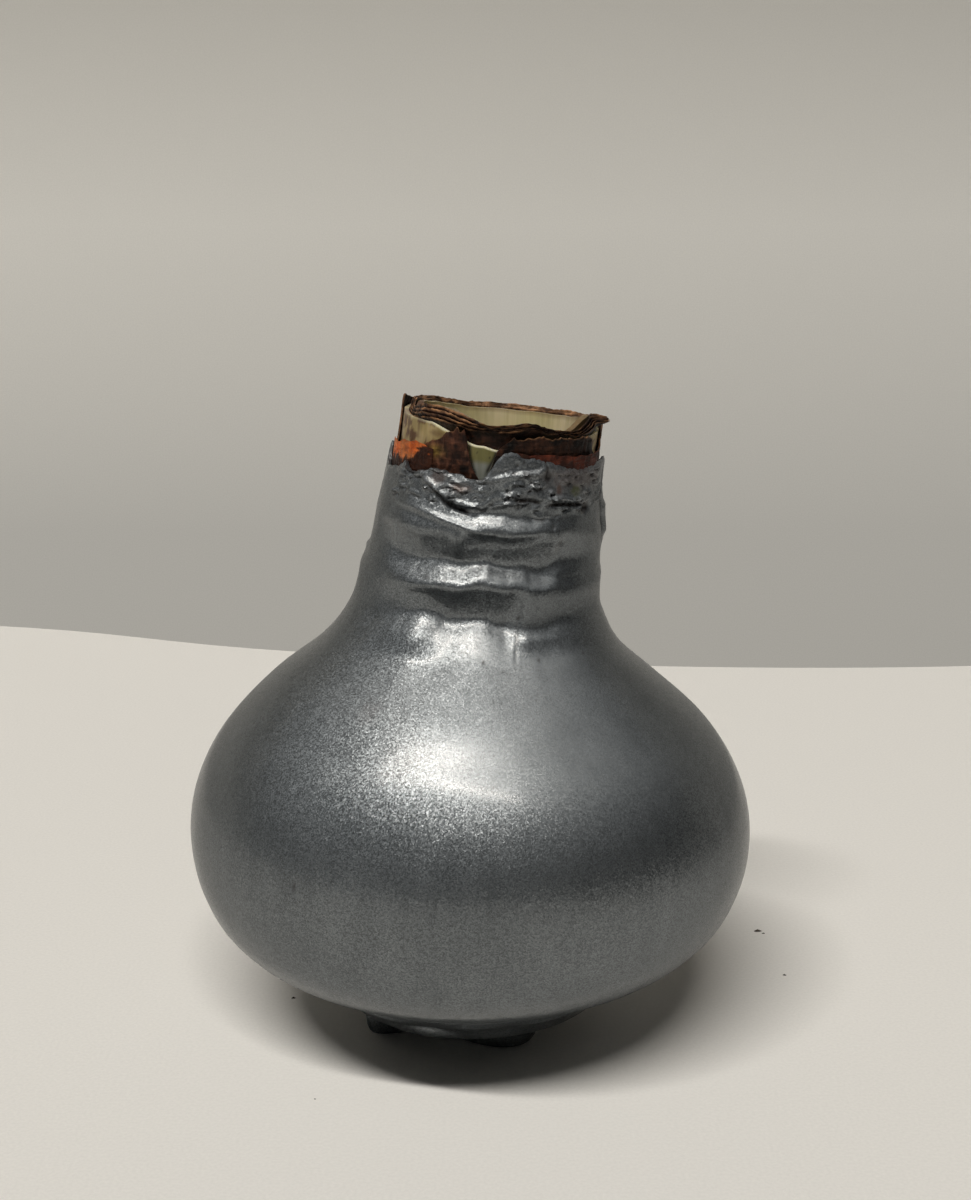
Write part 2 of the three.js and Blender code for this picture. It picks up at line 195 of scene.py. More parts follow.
def smooth_curve(points, position):
    """Smooth curve through (position, value) points, held level past both ends."""
    at, value = np.array(points, float).T
    span = np.diff(at)
    chord = np.diff(value) / span
    between = (chord[:-1] * span[1:] + chord[1:] * span[:-1]) / (span[1:] + span[:-1])
    slope = np.concatenate([chord[:1], between, chord[-1:]])
    position = np.clip(position, at[0], at[-1])
    index = np.clip(np.searchsorted(at, position) - 1, 0, len(span) - 1)
    t = (position - at[index]) / span[index]
    rise = value[index + 1] - value[index]
    first, second = slope[index] * span[index], slope[index + 1] * span[index]
    return value[index] + rise * t * t * (3 - 2 * t) + t * (1 - t) * (first * (1 - t) - second * t)


def straight_runs(points, azimuth):
    """Straight runs between (azimuth, value) points."""
    at, value = zip(*points)
    return np.interp(azimuth, at, value)


def smoothstep(value, low, high):
    share = np.clip((value - low) / (high - low), 0, 1)
    return share * share * (3 - 2 * share)


def window(value, edges):
    """Share that rises between the first two edges and falls between the last two."""
    return smoothstep(value, edges[0], edges[1]) * (1 - smoothstep(value, edges[2], edges[3]))


def near(value, middle, half_width):
    """Bell-shaped share, 1 at the middle."""
    return np.exp(-((value - middle) / half_width) ** 2)


def place(azimuth, height, radius):
    """Points in metres: the centre line leans, and the neck's cross-sections tip with it."""
    turn = np.radians(azimuth)
    tip = CUT_TILT * np.clip((height - TILT_START) / TILT_LENGTH, 0, 1)
    across = radius * np.sin(turn)
    return MM * np.stack(np.broadcast_arrays(
        smooth_curve(CENTRE_LINE, height) + across * np.cos(tip),
        -radius * np.cos(turn),
        height - across * np.sin(tip)), axis=-1)


def turns(count):
    """Azimuths of a ring's columns, closest together over the front."""
    turn = np.arange(count) / count * 2 * np.pi - np.pi
    return np.degrees(turn - FRONT_CROWDING * np.sin(turn))


def ragged(azimuth, size, spacing, seed):
    """Torn edge: random offsets up to a size, with corners a number of degrees apart."""
    count = round(360 / spacing)
    corners = np.random.default_rng(seed).uniform(-size, size, count)
    return np.interp((azimuth + 180) / 360 * count, np.arange(count + 1), np.append(corners, corners[0]))


def torn_edge(points, tears, azimuth):
    """Height of an edge: straight runs between points, and ragged (size, spacing, seed) tears."""
    return straight_runs(points, azimuth) + sum(ragged(azimuth, *tear) for tear in tears)


def wander(azimuth, height, degrees, rise, seed):
    """Smooth random relief from -1 to 1, closed round the bulb, with lumps of a size."""
    columns = round(360 / degrees)
    rows = int(TALLEST / rise) + 2
    lattice = np.random.default_rng(seed).uniform(-1, 1, (rows, columns))
    across = (azimuth + 180) / 360 * columns
    up = height / rise
    column, row = np.floor(across).astype(int), np.floor(up).astype(int)
    u, v = smoothstep(across - column, 0, 1), smoothstep(up - row, 0, 1)
    column, after = column % columns, (column + 1) % columns
    below = lattice[row, column] * (1 - u) + lattice[row, after] * u
    above = lattice[row + 1, column] * (1 - u) + lattice[row + 1, after] * u
    return below * (1 - v) + above * v


def waves(azimuth, height, layers):
    """Sum of wanders, given as (size, degrees, rise, seed)."""
    return sum(size * wander(azimuth, height, degrees, rise, seed) for size, degrees, rise, seed in layers)


def from_line(points, azimuth, height):
    """Distance in mm from a line of (azimuth, height) points, above it positive, and a share
    that fades to its ends."""
    middle = (points[0][0] + points[-1][0]) / 2
    azimuth = (azimuth - middle + 180) % 360 - 180 + middle
    nearest = np.full(azimuth.shape, np.inf)
    signed = np.zeros(azimuth.shape)
    fade = np.zeros(azimuth.shape)
    steps = len(points) - 1
    for step, ((from_azimuth, low), (to_azimuth, high)) in enumerate(zip(points, points[1:])):
        along, rise = (to_azimuth - from_azimuth) * NECK_MM_PER_DEGREE, high - low
        x, y = (azimuth - from_azimuth) * NECK_MM_PER_DEGREE, height - low
        share = np.clip((x * along + y * rise) / (along ** 2 + rise ** 2), 0, 1)
        x, y = x - share * along, y - share * rise
        distance = np.hypot(x, y)
        closer = distance < nearest
        nearest = np.where(closer, distance, nearest)
        signed = np.where(closer, np.where(y * along - x * rise >= 0, distance, -distance), signed)
        travelled = (step + share) / steps
        from_end = np.minimum(travelled, 1 - travelled)
        fade = np.where(closer, np.clip(LINE_END + LINE_END_SLOPE * from_end, 0, 1), fade)
    return signed, fade


def crest_swell(azimuth, height, crests):
    swell = np.zeros(azimuth.shape)
    for points, stand, above, below in crests:
        distance, fade = from_line(points, azimuth, height)
        swell += stand * fade * near(distance, 0, np.where(distance > 0, above, below))
    return swell


def crack_depth(azimuth, height, cracks):
    depth = np.zeros(azimuth.shape)
    for points, deep, half_width in cracks:
        distance, fade = from_line(points, azimuth, height)
        depth = np.maximum(depth, deep * fade * near(distance, 0, half_width))
    return depth


def pit_depth(azimuth, height, radius, pits):
    depth = np.zeros(azimuth.shape)
    for middle, level, half_width, deep in pits:
        across = np.radians(azimuth - middle) * radius
        depth = np.maximum(depth, deep * np.exp(-(across ** 2 + (height - level) ** 2) / half_width ** 2))
    return depth


def fold_swell(azimuth, height):
    """Relief of the folds, sharp at the lip and soft above it, on the flatter front."""
    swell = np.zeros(azimuth.shape)
    for points, below in FOLDS:
        at, lip, stand, above = np.array(points, float).T
        lip, stand, above = (smooth_curve(list(zip(at, value)), azimuth) for value in (lip, stand, above))
        lip = lip + waves(azimuth, lip, FOLD_WAVES)
        up = np.clip((height - lip) / above, 0, 1)
        down = np.clip((lip - height) / below, 0, None)
        rounded = np.sqrt(up ** 2 + LIP_ROUNDING ** 2) - LIP_ROUNDING
        swell += np.clip(stand, 0, None) * np.clip(1 - rounded, 0, 1) * np.exp(-down ** 2)
    facing = np.clip(np.cos(np.radians(azimuth - FRONT_MIDDLE)), 0, 1) ** 2
    level = height + waves(azimuth, height, FRONT_WAVES)
    level -= smooth_curve(NECK_RISE, azimuth) * window(height, NECK_RISE_HEIGHTS)
    filled = RUN_FILL * smoothstep(azimuth, *RUN_AZIMUTHS) * window(height, RUN_HEIGHTS)
    return swell + facing * (1 - filled) * smooth_curve(FRONT_SWELL, level)


def drawn_relief(count, seed, azimuths, heights, lengths, stands, reaches):
    """Crests drawn at random within ranges; in the torn wax each has a crack under it."""
    random = np.random.default_rng(seed)
    crests, cracks = [], []
    for _ in range(count):
        start = random.uniform(*azimuths)
        length = random.uniform(*lengths)
        level = random.uniform(*heights)
        middle = level + random.uniform(-0.07, 0.07) * length
        end = level + random.uniform(-0.05, 0.05) * length
        reach = random.uniform(*reaches)
        stand = random.uniform(*stands)
        points = [(start, level), (start + length / 2, middle), (start + length, end)]
        crests.append((points, stand, reach, 1.2 * reach))
        if level > TORN_BOTTOM:
            lower = [(at + 1.5, up - 1.5 * reach) for at, up in points]
            cracks.append((lower, stand, 0.5 * reach))
    return crests, cracks


class Rings:
    """Rings of a lofted piece, added one by one."""

    def __init__(self, columns):
        self.around = turns(columns)
        self.heights = []
        self.radii = []

    def add(self, height, radius):
        self.heights.append(height * np.ones(len(self.around)))
        self.radii.append(radius * np.ones(len(self.around)))

    def measures(self):
        return self.around, np.array(self.heights), np.array(self.radii)


def loft(name, rings, joined=False):
    """Closed mesh through rings of points: the first and last are capped, or joined."""
    rings = np.asarray(rings)
    count = rings.shape[0] * rings.shape[1]
    index = np.arange(count).reshape(rings.shape[:2])
    upper = np.roll(index, -1, axis=0)
    lower = index
    if not joined:
        lower, upper = index[:-1], index[1:]
    quads = np.stack([lower, np.roll(lower, -1, axis=1), np.roll(upper, -1, axis=1), upper], axis=-1)
    faces = quads.reshape(-1, 4).tolist()
    if not joined:
        faces += [index[0][::-1].tolist(), index[-1].tolist()]
    return make_piece(name, rings.reshape(-1, 3), faces)


def new_object(name, data):
    made = bpy.data.objects.new(name, data)
    bpy.context.scene.collection.objects.link(made)
    return made


def make_piece(name, points, faces):
    """Object of one mesh, its faces turned outwards and smooth but for its sharp edges."""
    mesh = bpy.data.meshes.new(name)
    mesh.from_pydata([tuple(point) for point in points], [], faces)
    turned = bmesh.new()
    turned.from_mesh(mesh)
    bmesh.ops.recalc_face_normals(turned, faces=turned.faces)
    turned.to_mesh(mesh)
    turned.free()
    mesh.polygons.foreach_set("use_smooth", [True] * len(mesh.polygons))
    mesh.set_sharp_from_angle(angle=SHARP_EDGE)
    return new_object(name, mesh)


def paint(piece, colours):
    """Colour and strength at every point of a piece, for its material to read."""
    layer = piece.data.color_attributes.new("paint", "FLOAT_COLOR", "POINT")
    layer.data.foreach_set("color", np.asarray(colours, float).reshape(-1))


def dress(piece, material, slot, *nodes):
    """Finish of a piece, the body that it rides on and the nodes that it stands for."""
    piece.data.materials.append(material)
    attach(piece, "root")
    if nodes:
        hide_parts(*nodes)


def colour(red, green, blue):
    """Linear colour from everyday 0 to 255 values."""
    return tuple(((value / 255 + 0.055) / 1.055) ** 2.4 for value in (red, green, blue)) + (1.0,)


def fill(material, node, inputs):
    """Inputs of a shader node, set or linked."""
    for socket, value in inputs.items():
        if isinstance(value, bpy.types.NodeSocket):
            material.node_tree.links.new(value, node.inputs[socket])
        else:
            node.inputs[socket].default_value = value


def shader(material, kind, inputs=None, **options):
    made = material.node_tree.nodes.new("ShaderNode" + kind)
    for option, value in options.items():
        setattr(made, option, value)
    fill(material, made, inputs or {})
    return made


def blend_colours(material, share, first, second, way="MIX"):
    mix = shader(material, "Mix", {0: share, 6: first, 7: second}, data_type="RGBA", blend_type=way)
    return mix.outputs[2]


def noise(material, spot, scale, detail, distortion=0.0):
    inputs = {"Vector": spot, "Scale": scale, "Detail": detail, "Distortion": distortion}
    return shader(material, "TexNoise", inputs).outputs["Fac"]


def stretched(material, spot, scale):
    return shader(material, "Mapping", {"Vector": spot, "Scale": scale}).outputs[0]


def share_between(material, value, low, high):
    return shader(material, "MapRange", {"Value": value, "From Min": low, "From Max": high}).outputs[0]


def bumps(material, strength, distance, height):
    """Normal of a surface with fine relief."""
    inputs = {"Strength": strength, "Distance": distance, "Height": height}
    return shader(material, "Bump", inputs).outputs[0]


def new_material(name):
    material = bpy.data.materials.new(name)
    material.use_nodes = True
    principled = material.node_tree.nodes["Principled BSDF"]
    spot = shader(material, "TexCoord").outputs["Object"]
    return material, principled, spot


def wax_edge(azimuth):
    return torn_edge(WAX_EDGE, WAX_TEARS, azimuth)


def wax_inside(height):
    """Distance of the bulb under the wax, which is slimmest where the neck meets the body."""
    waist = WAIST_DEPTH * near(height, WAIST_HEIGHT, WAIST_REACH)
    bore = NECK_BORE - BORE_DIP * near(height, BORE_DIP_HEIGHT, BORE_DIP_REACH)
    return np.maximum(smooth_curve(BODY_OUTLINE, height) - WAX_THICKNESS - waist, bore)


TORN_BOTTOM = 88
back_crests, back_cracks = drawn_relief(
    count=26, seed=5, azimuths=(95, 240), heights=(71, 95), lengths=(14, 50), stands=(0.15, 0.5),
    reaches=(0.5, 1.3))
torn_crests, torn_cracks = drawn_relief(
    count=110, seed=6, azimuths=(-75, 70), heights=(90.8, 97.5), lengths=(2, 9), stands=(0.12, 0.42),
    reaches=(0.12, 0.32))
TONGUE_AZIMUTHS = (-6, -1, 22, 27)
TONGUE_HEIGHTS = (96.3, 97.0)


def tongue(azimuth, height):
    """Share of the smooth tongue of wax beside the split in the skin."""
    return window(azimuth, TONGUE_AZIMUTHS) * smoothstep(height, *TONGUE_HEIGHTS)


def wax_cracks(azimuth, height):
    depth = crack_depth(azimuth, height, CRACKS + back_cracks)
    depth = np.maximum(depth, crack_depth(azimuth, height, torn_cracks) * (1 - tongue(azimuth, height)))
    return np.maximum(depth, pit_depth(azimuth, height, smooth_curve(BODY_OUTLINE, height), PITS))


def wax_outside(azimuth, height):
    """Distance of the wax surface from the centre line."""
    smooth = tongue(azimuth, height)
    swell = fold_swell(azimuth, height) + crest_swell(azimuth, height, CRESTS + back_crests)
    swell += crest_swell(azimuth, height, torn_crests) * (1 - smooth)
    rough = smoothstep(height, *TORN_WAVES_HEIGHTS) * (1 - 0.8 * smooth)
    swell += rough * waves(azimuth, height, TORN_WAVES)
    swell += smoothstep(height, *NECK_WAVES_HEIGHTS) * waves(azimuth, height, NECK_WAVES)
    inside = wax_inside(height)
    radius = np.maximum(smooth_curve(BODY_OUTLINE, height) + swell, inside + RIM_THICKNESS)
    return radius - np.minimum(wax_cracks(azimuth, height), radius - inside - THINNEST_WAX)


def pad_radius(azimuth):
    radius = np.full(azimuth.shape, PAD_RADIUS)
    for middle, reach, half_width in PAD_LUMPS:
        away = (azimuth - middle + 180) % 360 - 180
        radius += (reach - PAD_RADIUS) * near(away, 0, half_width)
    crumbly = 1 - near(azimuth, *PAD_SMOOTH)
    return radius + crumbly * (ragged(azimuth, 0.3, 7, 61) + ragged(azimuth, 0.2, 2, 62))


def lip_relief(azimuth, height):
    """The lip flows out of the body, but for two hollows and a crease over the front."""
    fill = LIP_FILL * near(height, LIP_TOP, LIP_FILL_REACH) * (height > LIP_TOP - 0.1)
    level = near(height, LIP_HOLLOW_HEIGHT, LIP_HOLLOW_REACH)
    for middle, half_width, depth in LIP_HOLLOWS:
        fill -= depth * near(azimuth, middle, half_width) * level
    crease = CREASE_DEPTH * near(height, CREASE_HEIGHT, CREASE_REACH)
    return fill - window(azimuth, CREASE_AZIMUTHS) * crease


def wax_rings():
    """Rings of the wax: up the foot and the outside, over the edge and down the inside."""
    rings = Rings(WAX_COLUMNS)
    around = rings.around
    edge = wax_edge(around)
    for height, spread in PAD_SIDES:
        rings.add(height, np.minimum(pad_radius(around) + spread, PAD_LIMIT))
    for height, radius in LIP:
        level = np.full(WAX_COLUMNS, height)
        rings.add(level, radius + lip_relief(around, level) + waves(around, level, LIP_WAVES))
    lip_heights = np.linspace(LIP_TOP, BODY_BOTTOM, LIP_ROWS + 1)[:-1]
    body_heights = np.linspace(BODY_BOTTOM, NECK_START, BODY_ROWS)
    for height in np.concatenate([lip_heights, body_heights]):
        level = np.full(WAX_COLUMNS, height)
        rings.add(level, wax_outside(around, level) + lip_relief(around, level))
    for share in np.linspace(0, 1, NECK_ROWS)[1:]:
        level = NECK_START + (edge - NECK_START) * share
        thinning = EDGE_THINNING * smoothstep(level, edge - EDGE_ROUNDING, edge)
        rings.add(level, wax_outside(around, level) - thinning)
    for height in (edge - 0.1, (edge + BORE_BOTTOM) / 2, BORE_BOTTOM):
        rings.add(height, NECK_BORE)
    for height in np.linspace(*INSIDE_HEIGHTS, INSIDE_ROWS)[::-1]:
        rings.add(height, wax_inside(height))
    for radius, height in BASE_INSIDE:
        rings.add(height, radius)
    return rings.measures()


FLAKES_PER_METRE = 6000.0
FLAKE_TILT = 0.27
DARK_SILVER = (0.121, 0.132, 0.139, 1)
PALE_SILVER = (0.160, 0.173, 0.181, 1)


def wax_material():
    """Silver wax: mica flakes that each tilt and shine a little differently, on streaky grey."""
    material, principled, spot = new_material("silver_wax")

    def vectors(operation, inputs):
        return shader(material, "VectorMath", inputs, operation=operation).outputs[0]

    flakes = shader(material, "TexVoronoi", {"Vector": spot, "Scale": FLAKES_PER_METRE}).outputs["Color"]
    centred = vectors("SUBTRACT", {0: flakes, 1: (0.5, 0.5, 0.5)})
    tilted = vectors("SCALE", {0: centred, "Scale": FLAKE_TILT})
    dips = bumps(material, 0.03, 0.0003, noise(material, spot, 500.0, 2.0))
    facets = vectors("NORMALIZE", {0: vectors("ADD", {0: dips, 1: tilted})})
    streaks = noise(material, stretched(material, spot, (1.0, 1.0, 0.12)), 330.0, 4.0)
    clouds = noise(material, spot, 60.0, 3.0)
    mottle = shader(material, "Math", {0: streaks, 1: clouds}, operation="ADD").outputs[0]
    plain = blend_colours(material, share_between(material, mottle, 0.7, 1.3), DARK_SILVER, PALE_SILVER)
    glint = shader(material, "SeparateColor", {0: flakes}).outputs[0]
    bright = shader(material, "MapRange", {"Value": glint, "To Min": 0.6, "To Max": 1.4}).outputs[0]
    silver = blend_colours(material, 1.0, plain, bright, "MULTIPLY")
    stain = shader(material, "Attribute", attribute_name="paint")
    covered = blend_colours(material, stain.outputs["Alpha"], silver, stain.outputs["Color"])
    bare = shader(material, "Math", {0: 0.92, 1: stain.outputs["Alpha"]}, operation="SUBTRACT")
    bare.use_clamp = True
    fill(material, principled, {
        "Base Color": covered, "Metallic": bare.outputs[0], "Normal": facets, "Coat Normal": dips,
        "Roughness": 0.35, "Specular Tint": (0.45, 0.45, 0.45, 1), "Coat Weight": 0.45,
        "Coat Roughness": 0.15,
    })
    return material


silver_wax = wax_material()
wax_around, wax_heights, wax_radii = wax_rings()
wax_coat = loft("wax_coat", place(wax_around[None, :], wax_heights, wax_radii))

# Skins show brown or green through thin wax, with small dark specks. Marks in pits and in the
# crevice under the split, and cracks and pits darkened by their depth, are painted shade:
# azimuth, height, half width in mm both ways, colour and strength.
DIRT_AND_SHADE = colour(20, 16, 14)
CRACK_SHADE_PER_MM = 3.2
BROWN_SKIN = colour(64, 42, 32)
GREEN_SCALE = colour(54, 58, 26)
STAINS = [
    (46, 96.0, 5.5, 1.7, BROWN_SKIN, 0.50), (-17, 93.4, 1.2, 0.6, BROWN_SKIN, 0.80),
    (-30, 94.5, 1.0, 0.8, BROWN_SKIN, 0.60), (45, 93.8, 1.0, 0.7, GREEN_SCALE, 0.80),
    (34, 94.2, 0.6, 0.8, BROWN_SKIN, 0.80), (25, 96.6, 0.5, 0.9, DIRT_AND_SHADE, 0.80),
    (27, 95.9, 0.6, 0.6, DIRT_AND_SHADE, 0.9), (18, 93.2, 2.2, 0.6, DIRT_AND_SHADE, 0.45),
    (-9, 95.0, 1.3, 0.3, DIRT_AND_SHADE, 0.70), (-60, 94.0, 1.8, 0.5, DIRT_AND_SHADE, 0.50),
    (5, 68.2, 0.2, 0.2, DIRT_AND_SHADE, 1.0), (28, 68.0, 0.22, 0.22, DIRT_AND_SHADE, 1.0), (50, 67.8, 0.2, 0.2, DIRT_AND_SHADE, 1.0),
    (20, 74.1, 0.3, 0.3, DIRT_AND_SHADE, 1.0), (-28, 61.9, 1.3, 0.7, BROWN_SKIN, 0.25),
    (12, 98.2, 0.25, 0.3, DIRT_AND_SHADE, 0.9), (55, 90.9, 0.9, 0.9, DIRT_AND_SHADE, 1.0),
    (-34.2, 39.0, 0.35, 0.35, DIRT_AND_SHADE, 1.0), (-28, 79.9, 0.5, 0.3, DIRT_AND_SHADE, 0.5),
]


def stain_colours(azimuth, height):
    """Colour and strength of the stains, later ones over earlier ones."""
    radius = smooth_curve(BODY_OUTLINE, height)
    uneven = 1 + waves(azimuth, height, STAIN_WAVES)
    layers = []
    for middle, level, across, up, tint, strength in STAINS:
        x = np.radians(azimuth - middle) * radius / across
        y = (height - level) / up
        layers.append((np.clip(1.6 * np.exp(-(x ** 2 + y ** 2)) * uneven, 0, 1) * strength, tint))
    # Cracks and pits are painted darker the deeper they are: painted shade in them.
    layers.append((np.clip(wax_cracks(azimuth, height) * CRACK_SHADE_PER_MM, 0, 1), DIRT_AND_SHADE))
    shown = np.zeros(azimuth.shape + (4,))
    for strength, tint in layers:
        kept = shown[..., 3] * (1 - strength)
        total = np.maximum(strength + kept, 1e-6)
        for channel in range(3):
            shown[..., channel] = (tint[channel] * strength + shown[..., channel] * kept) / total
        shown[..., 3] = strength + kept
    return shown


paint(wax_coat, stain_colours(np.broadcast_to(wax_around, wax_heights.shape), wax_heights))
dress(wax_coat, silver_wax, "silver_wax", "wax_coat")

# ---------------------------------------------------------------------------
# Bulb flesh
# Fleshy scales grown from one basal plate, cream to pale green with fine upright veins. It
# fills the wax; only the two outermost scales and the cut inner ones show in the open neck.
FLESH_COLUMNS = 300
FLESH_ROWS = 24
SCALE_ROWS = 40
MOUTH_ROWS = 16
SCALE_GAP = 0.28
INNER_SCALE = (12.6, 13.5)
OUTER_SCALE = (14.66, 15.31)
NECK_STEP = 86.8
GROOVE_FLOOR = 90
CUT_EDGE = [
    (-180, 102.7), (-160, 102.6), (-140, 103.1), (-120, 103.6), (-105, 103.8), (-79, 102.9),
    (-62, 103.9), (-56, 104.2), (-36, 104.4), (-27, 103.9), (-17, 103.2), (-9, 102.8), (3, 103.0),
    (15, 103.6), (26, 103.1), (38, 102.7), (52, 102.8), (61, 103.8), (70, 104.4), (82, 104.5),
    (95, 104.0), (120, 103.4), (150, 102.9), (180, 102.7),
]
INNER_DROP = 0.35
BACK_DROP = 0.45
BACK_DROP_AZIMUTHS = (90, 118)
RIBS = [(0.05, 2.4, 9, 81), (0.05, 7, 9, 82)]
FLOOR_WAVES = [(0.1, 14, 3, 85)]
MOUTH_BOTTOM = 91.2
MOUTH_SPREAD = 0.15
OUTER_SCALE_EDGE = [
    (-180, 101.9), (-120, 102.4), (-78, 101.9), (-44, 101.9), (-36, 101.3), (-26, 100.5), (-19, 99.8),
    (-13, 99.6), (-8, 99.5), (-2, 99.3), (8, 99.9), (30, 101.0), (66, 101.9), (120, 102.4),
    (180, 101.9),
]
# Cut tops of the inner scales across the mouth: (radius, height).
MOUTH_FLOOR = [
    (12.55, 91.0), (11.9, 90.7), (11.2, 90.6), (11.05, 89.7), (10.2, 89.3), (8.7, 89.5), (8.45, 90.3),
    (7.4, 90.5), (5.9, 90.1), (5.6, 89.2), (4.4, 88.7), (2.6, 89.0), (2.3, 89.8), (1.0, 89.9),
]


def flesh_rings():
    """Rings of the bulb: up inside the wax, over the two outer scales and down into the mouth."""
    rings = Rings(FLESH_COLUMNS)
    around = rings.around
    for radius, height in BASE_INSIDE[::-1]:
        rings.add(height + SCALE_GAP, radius - SCALE_GAP)
    for height in np.linspace(INSIDE_HEIGHTS[0], BORE_BOTTOM, FLESH_ROWS):
        rings.add(height, wax_inside(height) - SCALE_GAP)
    ribs = waves(around, np.ones(FLESH_COLUMNS), RIBS)
    outer_edge = torn_edge(OUTER_SCALE_EDGE, [(0.1, 5, 83)], around)
    inner_edge = smooth_curve(CUT_EDGE, around) - INNER_DROP + ragged(around, 0.08, 6, 84)
    inner_edge -= BACK_DROP * smoothstep(np.abs(around), *BACK_DROP_AZIMUTHS)
    rings.add(NECK_STEP, NECK_BORE - SCALE_GAP)
    rings.add(NECK_STEP, OUTER_SCALE[1])
    for share in np.linspace(0, 1, SCALE_ROWS)[1:]:
        rings.add(NECK_STEP + (outer_edge - NECK_STEP) * share, OUTER_SCALE[1] + ribs)
    rings.add(outer_edge + 0.05, sum(OUTER_SCALE) / 2)
    rings.add(outer_edge, OUTER_SCALE[0])
    rings.add(GROOVE_FLOOR, OUTER_SCALE[0])
    rings.add(GROOVE_FLOOR, INNER_SCALE[1])
    rings.add(inner_edge, INNER_SCALE[1])
    rings.add(inner_edge + 0.08, sum(INNER_SCALE) / 2)
    for share in np.linspace(1, 0, MOUTH_ROWS)[:-1]:
        height = MOUTH_BOTTOM + (inner_edge - MOUTH_BOTTOM) * share
        rings.add(height, INNER_SCALE[0] + ribs + MOUTH_SPREAD * (1 - share))
    for radius, height in MOUTH_FLOOR:
        rings.add(height + waves(around, np.full(FLESH_COLUMNS, radius), FLOOR_WAVES), radius)
    return rings.measures()


def flesh_material():
    material, principled, spot = new_material("bulb_flesh")
    veins = noise(material, stretched(material, spot, (1.0, 1.0, 0.05)), 1500.0, 3.0)
    sharper = share_between(material, veins, 0.35, 0.7)
    clouds = noise(material, spot, 260.0, 4.0)
    tint = shader(material, "Attribute", attribute_name="paint").outputs["Color"]
    veined = blend_colours(material, sharper, tint, (0.80, 0.80, 0.74, 1), "MULTIPLY")
    shaded = blend_colours(material, clouds, veined, (0.78, 0.76, 0.70, 1), "MULTIPLY")
    fill(material, principled, {
        "Base Color": shaded, "Normal": bumps(material, 0.35, 0.0002, veins), "Roughness": 0.5,
        "Specular IOR Level": 0.3, "Subsurface Weight": 0.25, "Subsurface Radius": (1.0, 0.8, 0.35),
        "Subsurface Scale": 0.0012,
    })
    return material


def mixed(share, first, second):
    """Mix of two colours by a share at every point."""
    share = np.clip(share, 0, 1)[..., None]
    return np.asarray(first) * (1 - share) + np.asarray(second) * share


CREAM = colour(206, 192, 164)
PALE_GREEN = colour(184, 174, 132)
OUTER_CREAM = colour(178, 158, 118)
OUTER_GREEN = colour(134, 118, 74)
SCALE_RED = colour(120, 40, 30)
DULL_GREEN = colour(100, 96, 58)
CUT_WHITE = colour(238, 232, 205)
FILM_GREY = colour(112, 114, 108)
BRUISE = colour(84, 54, 34)
END_BROWN = colour(64, 46, 28)
END_TAN = colour(112, 90, 58)
# Marks on the outer scale: azimuth, height, half width in mm both ways, colour and strength.
SCALE_MARKS = [
    (-77, 100.9, 0.45, 0.7, BRUISE, 0.9), (-82, 101.0, 0.5, 1.4, SCALE_RED, 0.8),
    (-62, 99.3, 2.2, 0.5, BRUISE, 0.7), (-40, 100.4, 1.5, 0.5, BRUISE, 0.6),
    (-56, 100.6, 0.3, 1.3, BRUISE, 0.5), (-13, 98.7, 0.12, 0.15, DIRT_AND_SHADE, 0.9),
    (-6, 98.0, 0.12, 0.2, DIRT_AND_SHADE, 0.9), (-10, 97.5, 0.10, 0.12, DIRT_AND_SHADE, 0.8),
    (-5, 96.8, 0.10, 0.15, DIRT_AND_SHADE, 0.8),
]
# Both sides of the split are painted dark, as painted shade in the crevice: points, depth and half width.
SPLIT_SIDE_SHADE = [
    ([(-19, 100.5), (-17, 98.0), (-14.5, 96.2), (-12, 95.0)], 1, 0.30),
    ([(-2, 99.4), (-3, 98.3), (-5, 96.9), (-7, 95.4)], 1, 0.30),
]
SPLIT_MIDDLE = -9
SPLIT_HALF_WIDTH = 14
FILM_HEIGHTS = (96.8, 97.6)
INNER_CLOUDS = [(0.5, 30, 6, 86)]
OUTER_CLOUDS = [(0.7, 9, 1.6, 89)]
BLOTCHES = [(3.0, 8, 1.5, 87), (2.4, 3, 0.7, 88)]
# Past the right end of the mouth the inner scale is browned, and its cut top tan.
END_AZIMUTHS = (46, 72)
END_TAN_AZIMUTHS = (30, 45, 110, 125)


def outer_scale_marks(tint, azimuth, height, radius):
    """Colours of the outer scale: dull green with a film of wax in the split, painted shade along
    its sides, blotched beside it.
    """
    in_split = np.exp(-((azimuth - SPLIT_MIDDLE) / SPLIT_HALF_WIDTH) ** 4)
    tint = mixed(in_split, tint, DULL_GREEN)
    tint = mixed(in_split * (1 - smoothstep(height, *FILM_HEIGHTS)), tint, FILM_GREY)
    blotched = np.clip(waves(azimuth, height, BLOTCHES) - 0.3, 0, 0.9)
    tint = mixed(blotched * (1 - in_split), tint, BRUISE)
    for middle, level, across, up, mark, strength in SCALE_MARKS:
        away = np.radians(azimuth - middle) * radius / across
        spot = np.exp(-(away ** 2 + ((height - level) / up) ** 2) ** 2)
        tint = mixed(spot * strength, tint, mark)
    # Painted shade along both sides of the split.
    tint = mixed(crack_depth(azimuth, height, SPLIT_SIDE_SHADE), tint, DIRT_AND_SHADE)
    below = straight_runs(OUTER_SCALE_EDGE, azimuth) - height
    reach = 0.15 + 0.25 * near(azimuth, -42, 8)
    fresh = 1 - smoothstep(below, 0.5 * reach, reach)
    strength = np.clip(0.25 + near(azimuth, -40, 8) + near(azimuth, -10, 10), 0, 1)
    return mixed(fresh * strength, tint, CUT_WHITE)


